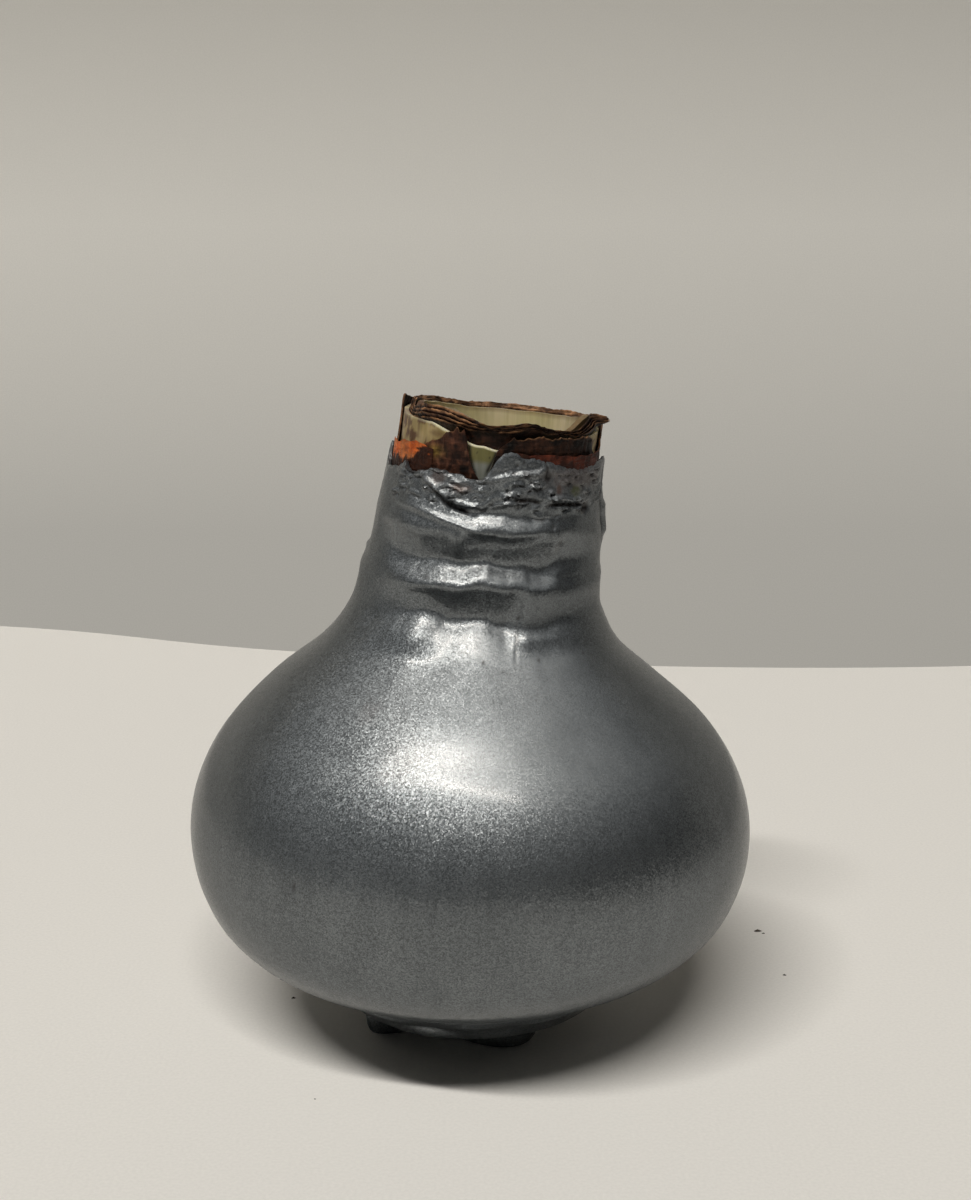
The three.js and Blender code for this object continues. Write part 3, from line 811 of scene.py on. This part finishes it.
def inner_scale_marks(tint, azimuth, height):
    """Colours of the inner scales: bruised at the cut and towards the sides."""
    below = smooth_curve(CUT_EDGE, azimuth) - INNER_DROP - height
    cut_top = 1 - smoothstep(below, 0.1, 0.4)
    bruised = 0.7 * (1 - smoothstep(below, 0, 1.2))
    bruised = np.maximum(bruised, cut_top * smoothstep(np.abs(azimuth), 35, 60))
    bruised = np.maximum(bruised, 0.6 * near(np.abs(azimuth), 95, 16))
    browned = smoothstep(azimuth, *END_AZIMUTHS)
    browned *= 1 - 0.35 * smoothstep(azimuth, 80, 96) - 0.65 * smoothstep(azimuth, 96, 112)
    tint = mixed(0.9 * browned, mixed(bruised, tint, BRUISE), END_BROWN)
    return mixed(cut_top * window(azimuth, END_TAN_AZIMUTHS), tint, END_TAN)


def flesh_colours(azimuth, height, radius):
    outer = mixed(0.5 + waves(azimuth, height, OUTER_CLOUDS), OUTER_CREAM, OUTER_GREEN)
    inner = mixed(0.5 + waves(azimuth, height, INNER_CLOUDS), CREAM, PALE_GREEN)
    is_inner = (radius < INNER_SCALE[1] + 0.05)[..., None]
    return np.where(is_inner, inner_scale_marks(inner, azimuth, height),
                    outer_scale_marks(outer, azimuth, height, radius))


flesh_around, flesh_heights, flesh_radii = flesh_rings()
bulb_flesh = loft("bulb_flesh", place(flesh_around[None, :], flesh_heights, flesh_radii))
flesh_azimuth = np.broadcast_to(flesh_around, flesh_heights.shape)
paint(bulb_flesh, flesh_colours(flesh_azimuth, flesh_heights, flesh_radii))
dress(bulb_flesh, flesh_material(), "bulb_flesh", "bulb_flesh")

# ---------------------------------------------------------------------------
# Dark skins at the cut
# Four dry skins that lie on each other and line the cut. Each is torn a little lower than the
# one inside it, and over the front they curl outwards. Purple-black, with pale cut edges.
SKIN_COLUMNS = 540
RIM_LAYERS = 4
RIM_INNER = 13.74
RIM_PITCH = 0.21
RIM_SKIN = 0.10
RIM_STEP = [
    (-180, -0.15), (-115, -0.13), (-88, 0.15), (-62, 0.62), (-36, 0.62), (-20, 0.50), (-8, 0.30),
    (30, 0.22), (62, 0.35), (90, 0.15), (115, -0.13), (180, -0.15),
]
FLARE_START = 100.6
FLARE_TOP = 103.4
RIM_FLARE = 1.5
FLARE_SPREAD = 1.6
TIP_AZIMUTH = 76
TIP_REACH = 2.3
TIP_WIDTH = 3.5
TIP_HEIGHTS = (102.6, 104.2)
RIM_ROWS = 22
RIM_WAVES = [(0.16, 9, 1.1, 101), (0.10, 3.5, 0.8, 102)]
TOP_CROWDING = 0.6


def sheet_rings(azimuth, low, high, inner, outer, rows):
    """Thin sheet between two heights and two distances: up its outside and down its inside,
    with its rows closest together near the torn edge."""
    shares = np.linspace(0, 1, rows)[:, None] ** TOP_CROWDING
    level = low + (high - low) * shares
    middle = (inner(azimuth, high) + outer(azimuth, high))[None, :] / 2
    heights = np.concatenate([level, high[None, :] + 0.03, level[::-1]])
    radii = np.concatenate([outer(azimuth, level), middle, inner(azimuth, level[::-1])])
    return heights, radii


def skin_material(name, roughness, vein_scale, vein_depth):
    """Dry papery skin: painted colour, darkened by upright veins and crossed by fine creases. Its
    crumples are darkened in patches, as painted shade.
    """
    material, principled, spot = new_material(name)
    veins = noise(material, stretched(material, spot, (1.0, 1.0, 0.14)), vein_scale, 5.0)
    creases = noise(material, stretched(material, spot, (0.25, 0.25, 1.0)), 1600.0, 4.0)
    # Dark patches that follow the crumpled relief: painted shade in its dips, and mottled colour.
    crumple_patches = noise(material, spot, 420.0, 5.0, 1.2)
    both = shader(material, "Math", {0: veins, 1: creases}, operation="ADD").outputs[0]
    sharper = share_between(material, both, 0.75, 1.25)
    veined = blend_colours(material, sharper, (0.25, 0.22, 0.22, 1), (1.5, 1.45, 1.4, 1))
    unshaded_share = share_between(material, crumple_patches, 0.40, 0.60)
    patched = blend_colours(material, unshaded_share, (0.22, 0.18, 0.17, 1), (1.2, 1.15, 1.1, 1))
    tint = shader(material, "Attribute", attribute_name="paint").outputs["Color"]
    shaded = blend_colours(material, vein_depth, tint, veined, "MULTIPLY")
    mottled = blend_colours(material, vein_depth, shaded, patched, "MULTIPLY")
    crumpled = shader(material, "Math", {0: both, 1: crumple_patches}, operation="ADD").outputs[0]
    fill(material, principled, {
        "Base Color": mottled, "Normal": bumps(material, 0.8, 0.0005, crumpled), "Roughness": roughness,
        "Specular IOR Level": 0.12, "Coat Weight": 0.05, "Coat Roughness": 0.3,
    })
    return material


def rim_rings(azimuth, layer):
    """Heights and distances of one skin of the rim, and its torn top."""
    top = smooth_curve(CUT_EDGE, azimuth) - layer * straight_runs(RIM_STEP, azimuth)
    top -= BACK_DROP * smoothstep(np.abs(azimuth), *BACK_DROP_AZIMUTHS)
    top += ragged(azimuth, 0.10, 7, 91 + layer) + ragged(azimuth, 0.08, 2, 96 + layer)
    base = RIM_INNER + layer * RIM_PITCH

    def inner(around, height):
        front = np.clip(FLARE_SPREAD * np.cos(np.radians(around)), 0, 1)
        wave = waves(around, height, RIM_WAVES + [(0.07, 1.4, 0.35, 103 + layer)])
        flare = (RIM_FLARE * front + wave * (0.3 + front)) * (0.75 + 0.12 * layer)
        flare = smoothstep(height, FLARE_START, FLARE_TOP) * flare
        tip = TIP_REACH * near(around, TIP_AZIMUTH, TIP_WIDTH)
        return base + flare + tip * smoothstep(height, *TIP_HEIGHTS)

    def outer(around, height):
        return inner(around, height) + RIM_SKIN

    return sheet_rings(azimuth, GROOVE_FLOOR + SCALE_GAP, top, inner, outer, RIM_ROWS) + (top,)


def join_pieces(name, parts):
    """One object out of several closed meshes, with their paint."""
    points, faces, colours = [], [], []
    for part in parts:
        mesh = part.data
        start = len(points)
        points += [tuple(vertex.co) for vertex in mesh.vertices]
        faces += [[start + corner for corner in face.vertices] for face in mesh.polygons]
        shades = np.empty(len(mesh.vertices) * 4)
        mesh.color_attributes["paint"].data.foreach_get("color", shades)
        colours.append(shades.reshape(-1, 4))
        bpy.data.objects.remove(part)
        bpy.data.meshes.remove(mesh)
    piece = make_piece(name, points, faces)
    paint(piece, np.concatenate(colours))
    return piece


PURPLE_BLACK = colour(20, 10, 8)
RUST_AND_SHADE = colour(36, 21, 14)
TAN_EDGE = colour(168, 128, 94)
PURPLE_FOLD = colour(46, 29, 22)
FOXED = colour(72, 52, 37)
FOXED_AZIMUTHS = (90, 130)
RUST_AND_SHADE_HEIGHTS = (99.8, 101.6)
# The front of the rim is darker, and its edge less worn: azimuths.
DARK_FRONT = (-30, 0, 70, 90)
UNWORN_FRONT = (-30, -5, 60, 80)


def rim_layer(layer):
    """One skin of the rim: folds of purple, rust and painted shade low down, foxed at the back, its edge
    worn pale.
    """
    around = turns(SKIN_COLUMNS)
    heights, radii, top = rim_rings(around, layer)
    azimuth = np.broadcast_to(around, heights.shape)
    folds = 0.5 + waves(azimuth, heights, [(0.8, 5, 0.7, 111 + layer)])
    tint = mixed(folds - 0.45 * window(azimuth, DARK_FRONT), PURPLE_BLACK, PURPLE_FOLD)
    # Low down the skin is painted a dark rust: rust colour and painted shade.
    tint = mixed(1 - smoothstep(heights, *RUST_AND_SHADE_HEIGHTS), tint, RUST_AND_SHADE)
    tint = mixed(0.75 * smoothstep(np.abs(azimuth), *FOXED_AZIMUTHS), tint, FOXED)
    worn = 0.65 + waves(azimuth, heights, [(0.7, 4, 1.0, 116 + layer)])
    worn = np.clip(worn - 0.55 * window(azimuth, UNWORN_FRONT), 0.04, 0.95)
    tint = mixed(worn * smoothstep(heights, top - 0.14, top - 0.05), tint, TAN_EDGE)
    skin = loft(f"rim_skin_{layer}", place(around[None, :], heights, radii), joined=True)
    paint(skin, tint)
    return skin


tunic_rim = join_pieces("tunic_rim", [rim_layer(layer) for layer in range(RIM_LAYERS)])
dress(tunic_rim, skin_material("dark_tunic", 0.5, 900.0, 0.8), "dark_tunic", "tunic_rim")

# ---------------------------------------------------------------------------
# Outer skins
# The brown outer skin, split in a V over the front and torn low on the left, where an orange
# flake of it is left; and a red-brown strip that stands on the edge of the wax on the right.
BROWN_RADII = (15.72, 15.98)
BROWN_EDGE = [
    (-180, 102.2), (-150, 102.3), (-120, 103.0), (-104, 103.7), (-99, 103.9), (-97, 101.5),
    (-95.5, 97.6), (-88, 97.2), (-80, 96.9), (-72, 96.6), (-64, 96.4), (-56, 96.8), (-50, 97.4),
    (-46, 98.6), (-42, 99.2), (-38, 99.5), (-34, 100.0), (-32, 100.8), (-28.5, 100.9), (-26, 101.9),
    (-24, 101.3), (-21.5, 101.9), (-19.5, 100.5), (-17.5, 98.4), (-13, 95.4), (-9, 94.4), (-6, 95.4),
    (-4, 97.0), (-2, 99.3), (2, 100.4), (6, 101.4), (20, 101.7), (54, 101.9), (60, 101.4), (65, 99.2),
    (69, 98.6), (77, 98.6), (81, 99.6), (84, 101.5), (90, 102.9), (96, 103.4), (120, 103.1),
    (150, 102.5), (180, 102.2),
]
BROWN_TEARS = [(0.26, 3.5, 121), (0.16, 1.2, 122)]
BROWN_ROWS = 40
# Wrinkles of a skin: size and seed.
BROWN_WRINKLES = (0.16, 131)
BROWN_PATCHES = [(0.8, 7, 2, 141), (0.7, 2.5, 0.8, 142)]
BROWN_STREAKS = [(1, 1.3, 4.5, 143), (0.5, 5, 1.2, 144)]
MUD_BROWN = colour(62, 38, 26)
PURPLE_SHADE = colour(78, 50, 38)
PURPLE_AT = (-32, 17)
DEEP_BROWN = colour(12, 7, 5)
TAN_STREAK = colour(112, 82, 62)
TAN_GREEN = colour(120, 100, 52)
GREEN_AZIMUTH = (-37, 4)
GREEN_HEIGHT = (97.9, 0.8)
SUNK_IN_WAX = 0.5
RUN_ROWS = 14
ORANGE_RUN = (-95, -38)
ORANGE_TOP = [(-95, 97.0), (-88, 97.3), (-72, 97.7), (-60, 98.3), (-52, 98.9), (-44, 98.6), (-38, 98.3)]
ORANGE_TEARS = [(0.28, 6, 151), (0.12, 2, 156)]
ORANGE_BASE = [(-95, 94.2), (-88, 94.6), (-78, 95.4), (-70, 95.7), (-56, 95.9), (-50, 96.9), (-44, 97.2)]
ORANGE_END = -48
ORANGE_RADII = (16.22, 16.34)
ORANGE_WRINKLES = (0.07, 152)
ORANGE = colour(186, 86, 32)
PALE_ORANGE = colour(168, 108, 64)
SCORCHED = colour(44, 22, 12)
RED_RUN = (8, 67)
RED_TOP = [(8, 99.4), (14, 99.1), (30, 99.3), (42, 99.1), (56, 99.2), (67, 99.6)]
RED_TEARS = [(0.12, 3, 161)]
RED_RADII = (16.55, 16.75)
RED_WRINKLES = (0.08, 162)
RED_BROWN = colour(80, 38, 26)


def wrinkled(radius, size, seed):
    """Distance of a crumpled skin from the centre line, as a function of place."""
    crumple = [(0.6, 8, 2.2, seed), (0.4, 3, 1.1, seed + 1), (0.5, 1.8, 3.5, seed + 2)]
    return lambda azimuth, height: radius + size * waves(azimuth, height, crumple)


def skin_run(name, run, top, tears, radii, wrinkles):
    """Part of a torn skin over a run of azimuths, from inside the wax up to its own top."""
    azimuth = np.linspace(*run, int((run[1] - run[0]) * SKIN_COLUMNS / 360))
    bottom = wax_edge(azimuth) - SUNK_IN_WAX
    inner, outer = (wrinkled(radius, *wrinkles) for radius in radii)
    top = torn_edge(top, tears, azimuth)
    heights, distances = sheet_rings(azimuth, bottom, top, inner, outer, RUN_ROWS)
    sections = place(azimuth[None, :], heights, distances).transpose(1, 0, 2)
    return loft(name, sections), np.broadcast_to(azimuth[:, None], heights.T.shape), heights.T


def brown_colours(azimuth, height):
    """Mud brown and deep brown in patches, purple left of the split, tan streaks further left."""
    patched = 0.5 + waves(azimuth, height, BROWN_PATCHES)
    tint = mixed(patched, MUD_BROWN, DEEP_BROWN)
    tint = mixed(near(azimuth, *PURPLE_AT) * np.clip(1.2 - patched, 0.2, 1), tint, PURPLE_SHADE)
    streaked = 0.55 * smoothstep(waves(azimuth, height, BROWN_STREAKS), 0.5, 0.9)
    tint = mixed(streaked * (1 - 0.8 * smoothstep(azimuth, -24, -6)), tint, TAN_STREAK)
    tint = mixed(0.5 * smoothstep(azimuth, -12, 4), tint, DEEP_BROWN)
    top = torn_edge(BROWN_EDGE, BROWN_TEARS, azimuth)
    worn = 0.30 * smoothstep(height, top - 0.14, top) * (np.abs(azimuth - SPLIT_MIDDLE) > 13)
    tint = mixed(worn, tint, TAN_EDGE)
    return mixed(near(azimuth, *GREEN_AZIMUTH) * near(height, *GREEN_HEIGHT), tint, TAN_GREEN)


around = turns(SKIN_COLUMNS)
bottom = np.full(SKIN_COLUMNS, NECK_STEP + SCALE_GAP)
top = torn_edge(BROWN_EDGE, BROWN_TEARS, around)
inner, outer = (wrinkled(radius, *BROWN_WRINKLES) for radius in BROWN_RADII)
heights, distances = sheet_rings(around, bottom, top, inner, outer, BROWN_ROWS)
tunic_brown = loft("tunic_brown", place(around[None, :], heights, distances), joined=True)
paint(tunic_brown, brown_colours(np.broadcast_to(around, heights.shape), heights))
dress(tunic_brown, skin_material("brown_tunic", 0.5, 1300.0, 0.75), "brown_tunic", "tunic_brown")


def orange_colours(azimuth, height):
    """Orange above a jagged line and left of a wavering one, scorched past them."""
    tint = mixed(0.5 + waves(azimuth, height, [(0.5, 6, 1.5, 153)]), ORANGE, PALE_ORANGE)
    jagged = torn_edge(ORANGE_BASE, [(0.7, 2.6, 154)], azimuth)
    end = ORANGE_END + waves(np.zeros(azimuth.shape), height, [(9, 30, 0.45, 155)])
    below = 1 - smoothstep(height, jagged - 0.1, jagged + 0.1)
    return mixed(np.maximum(below, smoothstep(azimuth, end, end + 2)), tint, SCORCHED)


tunic_orange, azimuth, heights = skin_run(
    "tunic_orange", ORANGE_RUN, ORANGE_TOP, ORANGE_TEARS, ORANGE_RADII, ORANGE_WRINKLES)
paint(tunic_orange, orange_colours(azimuth, heights))
dress(tunic_orange, skin_material("orange_tunic", 0.55, 1100.0, 0.4), "orange_tunic", "tunic_orange")

tunic_red, azimuth, heights = skin_run("tunic_red", RED_RUN, RED_TOP, RED_TEARS, RED_RADII, RED_WRINKLES)
paint(tunic_red, mixed(0.5 + waves(azimuth, heights, [(0.6, 6, 1.0, 163)]), RED_BROWN, RUST_AND_SHADE))
dress(tunic_red, skin_material("red_tunic", 0.5, 1100.0, 0.6), "red_tunic", "tunic_red")

# ---------------------------------------------------------------------------
# Stage
# A white sheet of paper on a table in front of a pale grey wall, with a few crumbs of dry skin
# on it. Its far edge curls, so it isn't straight. A soft strip of light in front and above,
# overhead panels for the sheen of the wax, and pale surroundings.
SHEET_FAR_EDGE = [
    (-1.2, 0.285), (-0.32, 0.262), (-0.20, 0.274), (-0.13, 0.262), (-0.07, 0.240), (0.02, 0.222),
    (0.08, 0.2165), (0.13, 0.2165), (0.20, 0.224), (1.2, 0.26),
]
SHEET_SIDE = 1.2
SHEET_FRONT = -1.2
WALL_AT = 0.42
WALL_SIDE = 3
WALL_BOTTOM = -1.5
WALL_TOP = 0.55
# The paper is painted darker to the right and the wall darker towards its top: painted shade where the light
# falls off.
SHEET_LIT_AND_SHADED = ((0.785, 0.757, 0.712, 1), (0.28, 0.272, 0.257, 1))
SHEET_SHADE = ("X", 0.16, 0.42)
WALL_LIT_AND_SHADED = ((0.69, 0.67, 0.625, 1), (0.35, 0.337, 0.308, 1))
WALL_SHADE = ("Z", 0.12, 0.27)


def flat_stage(name, points, colours, shade):
    """Flat matt surface whose colour darkens between two places along an axis, as painted shade."""
    axis, start, end = shade
    mesh = bpy.data.meshes.new(name)
    mesh.from_pydata(points, [], [list(range(len(points)))])
    material, principled, spot = new_material(name)
    along = shader(material, "SeparateXYZ", {0: spot}).outputs[axis]
    share = share_between(material, along, start, end)
    fibres = noise(material, spot, 1800.0, 3.0)
    lighter = shader(material, "MapRange", {"Value": fibres, "To Min": 0.92, "To Max": 1.08}).outputs[0]
    plain = blend_colours(material, share, *colours)
    shaded = blend_colours(material, 1.0, plain, lighter, "MULTIPLY")
    fill(material, principled, {"Base Color": shaded, "Roughness": 0.9, "Specular IOR Level": 0.1})
    mesh.materials.append(material)
    piece = new_object(name, mesh)


far_x = np.linspace(-SHEET_SIDE, SHEET_SIDE, 200)
far_edge = [(x, float(smooth_curve(SHEET_FAR_EDGE, x)), 0.0) for x in far_x]
near_edge = [(-SHEET_SIDE, SHEET_FRONT, 0), (SHEET_SIDE, SHEET_FRONT, 0)]
flat_stage("paper_sheet", near_edge + far_edge[::-1], SHEET_LIT_AND_SHADED, SHEET_SHADE)
wall_corners = [(-WALL_SIDE, WALL_AT, WALL_BOTTOM), (WALL_SIDE, WALL_AT, WALL_BOTTOM),
                (WALL_SIDE, WALL_AT, WALL_TOP), (-WALL_SIDE, WALL_AT, WALL_TOP)]
flat_stage("wall", wall_corners, WALL_LIT_AND_SHADED, WALL_SHADE)

# Crumbs of dry skin on the paper: place in mm and size.
CRUMBS = [(-31.0, 6.1, 0.55), (54.2, 33.3, 0.8), (55.2, 32.2, 0.4), (56.0, 14.4, 0.45), (-24.3, -28.5, 0.25)]
CRUMB_SIDES = 6
crumb_points, crumb_faces = [], []
for number, (x, y, size) in enumerate(CRUMBS):
    random = np.random.default_rng(200 + number)
    reaches = size * random.uniform(0.5, 1.2, CRUMB_SIDES)
    start = len(crumb_points)
    for side, reach in enumerate(reaches):
        turn = 2 * math.pi * side / CRUMB_SIDES
        crumb_x, crumb_y = x + reach * math.cos(turn), y + 0.6 * reach * math.sin(turn)
        crumb_points.append((MM * crumb_x, MM * crumb_y, 0.0))
        crumb_faces.append((start + side, start + (side + 1) % CRUMB_SIDES, start + CRUMB_SIDES))
    crumb_points.append((MM * x, MM * y, MM * 0.5 * size))
crumbs = make_piece("floor_crumbs", crumb_points, crumb_faces)
crumb_brown, principled, _ = new_material("crumb_brown")
fill(crumb_brown, principled, {"Base Color": (0.03, 0.018, 0.01, 1), "Roughness": 0.8})
crumbs.data.materials.append(crumb_brown)

LIGHT_TARGET = 0.05


def strip_light(name, azimuth, elevation, distance, size, power, tint):
    """Rectangular light aimed at the bulb, its long side level."""
    data = bpy.data.lights.new(name, "AREA")
    data.shape = "RECTANGLE"
    data.size, data.size_y = size
    data.energy = power
    data.color = tint
    light = new_object(name, data)
    turn, up = math.radians(azimuth), math.radians(elevation)
    away = distance * math.cos(up)
    light.location = (away * math.sin(turn), -away * math.cos(turn), LIGHT_TARGET + distance * math.sin(up))
    light.rotation_euler = (math.pi / 2 - up, 0, turn)
    return light


# Overhead panels that only show in the wax: width, depth and strength. All end at the same
# line in front, so the sheen is brightest there and fades upwards and to the sides.
SHEEN_AZIMUTH = -15
SHEEN_LINE = 66.4
SHEEN_DISTANCE = 2.4
SHEEN_COLOUR = (1.0, 0.935, 0.85)
SHEEN_PANELS = [
    (5.0, 2.4, 0.32), (3.4, 2.0, 0.35), (2.6, 1.8, 0.35), (2.1, 1.5, 0.35), (1.2, 1.5, 0.35),
    (2.3, 0.6, 0.5), (1.8, 0.5, 0.9), (1.9, 0.25, 0.8), (1.0, 0.25, 0.9), (1.3, 0.04, 90.0),
    (2.1, 0.04, 60.0),
]
for number, (width, depth, strength) in enumerate(SHEEN_PANELS):
    elevation = SHEEN_LINE + math.degrees(math.atan(depth / 2 / SHEEN_DISTANCE))
    power = math.pi * width * depth * strength
    panel = strip_light(f"sheen_panel_{number}", SHEEN_AZIMUTH, elevation, SHEEN_DISTANCE, (width, depth),
                        power, SHEEN_COLOUR)
    panel.visible_diffuse = False
# The strip that lights the paper and casts the shadow: azimuth, elevation, distance, size,
# power and colour. It doesn't show in the wax.
floor_strip = strip_light("floor_strip", -15, 53, 3.6, (2.4, 0.15), 137.0, (1.0, 0.985, 0.95))
floor_strip.visible_glossy = False

world = bpy.data.worlds.new("room")
bpy.context.scene.world = world
world.use_nodes = True
world.cycles_visibility.diffuse = False
direction = shader(world, "TexCoord").outputs["Generated"]
axes = shader(world, "SeparateXYZ", {0: direction}).outputs
to_right = share_between(world, axes["X"], -0.7, 0.7)
overhead = share_between(world, axes["Z"], 0.25, 0.80)
low = blend_colours(world, to_right, (0.24, 0.24, 0.235, 1), (0.03, 0.03, 0.03, 1))
high = blend_colours(world, to_right, (0.62, 0.62, 0.61, 1), (0.56, 0.56, 0.55, 1))
room = blend_colours(world, overhead, low, high)
fill(world, world.node_tree.nodes["Background"], {"Color": room})
bpy.context.scene.view_settings.view_transform = "Standard"

camera_data = bpy.data.cameras.new("camera")
camera_data.lens = 53.04
camera_data.sensor_width = 36
camera_data.clip_start = 0.01
camera = new_object("camera", camera_data)
camera.location = (0, -0.277, 0.1397)
camera.rotation_euler = (math.radians(90 - 13.6), 0, math.radians(-0.5))
bpy.context.scene.camera = camera
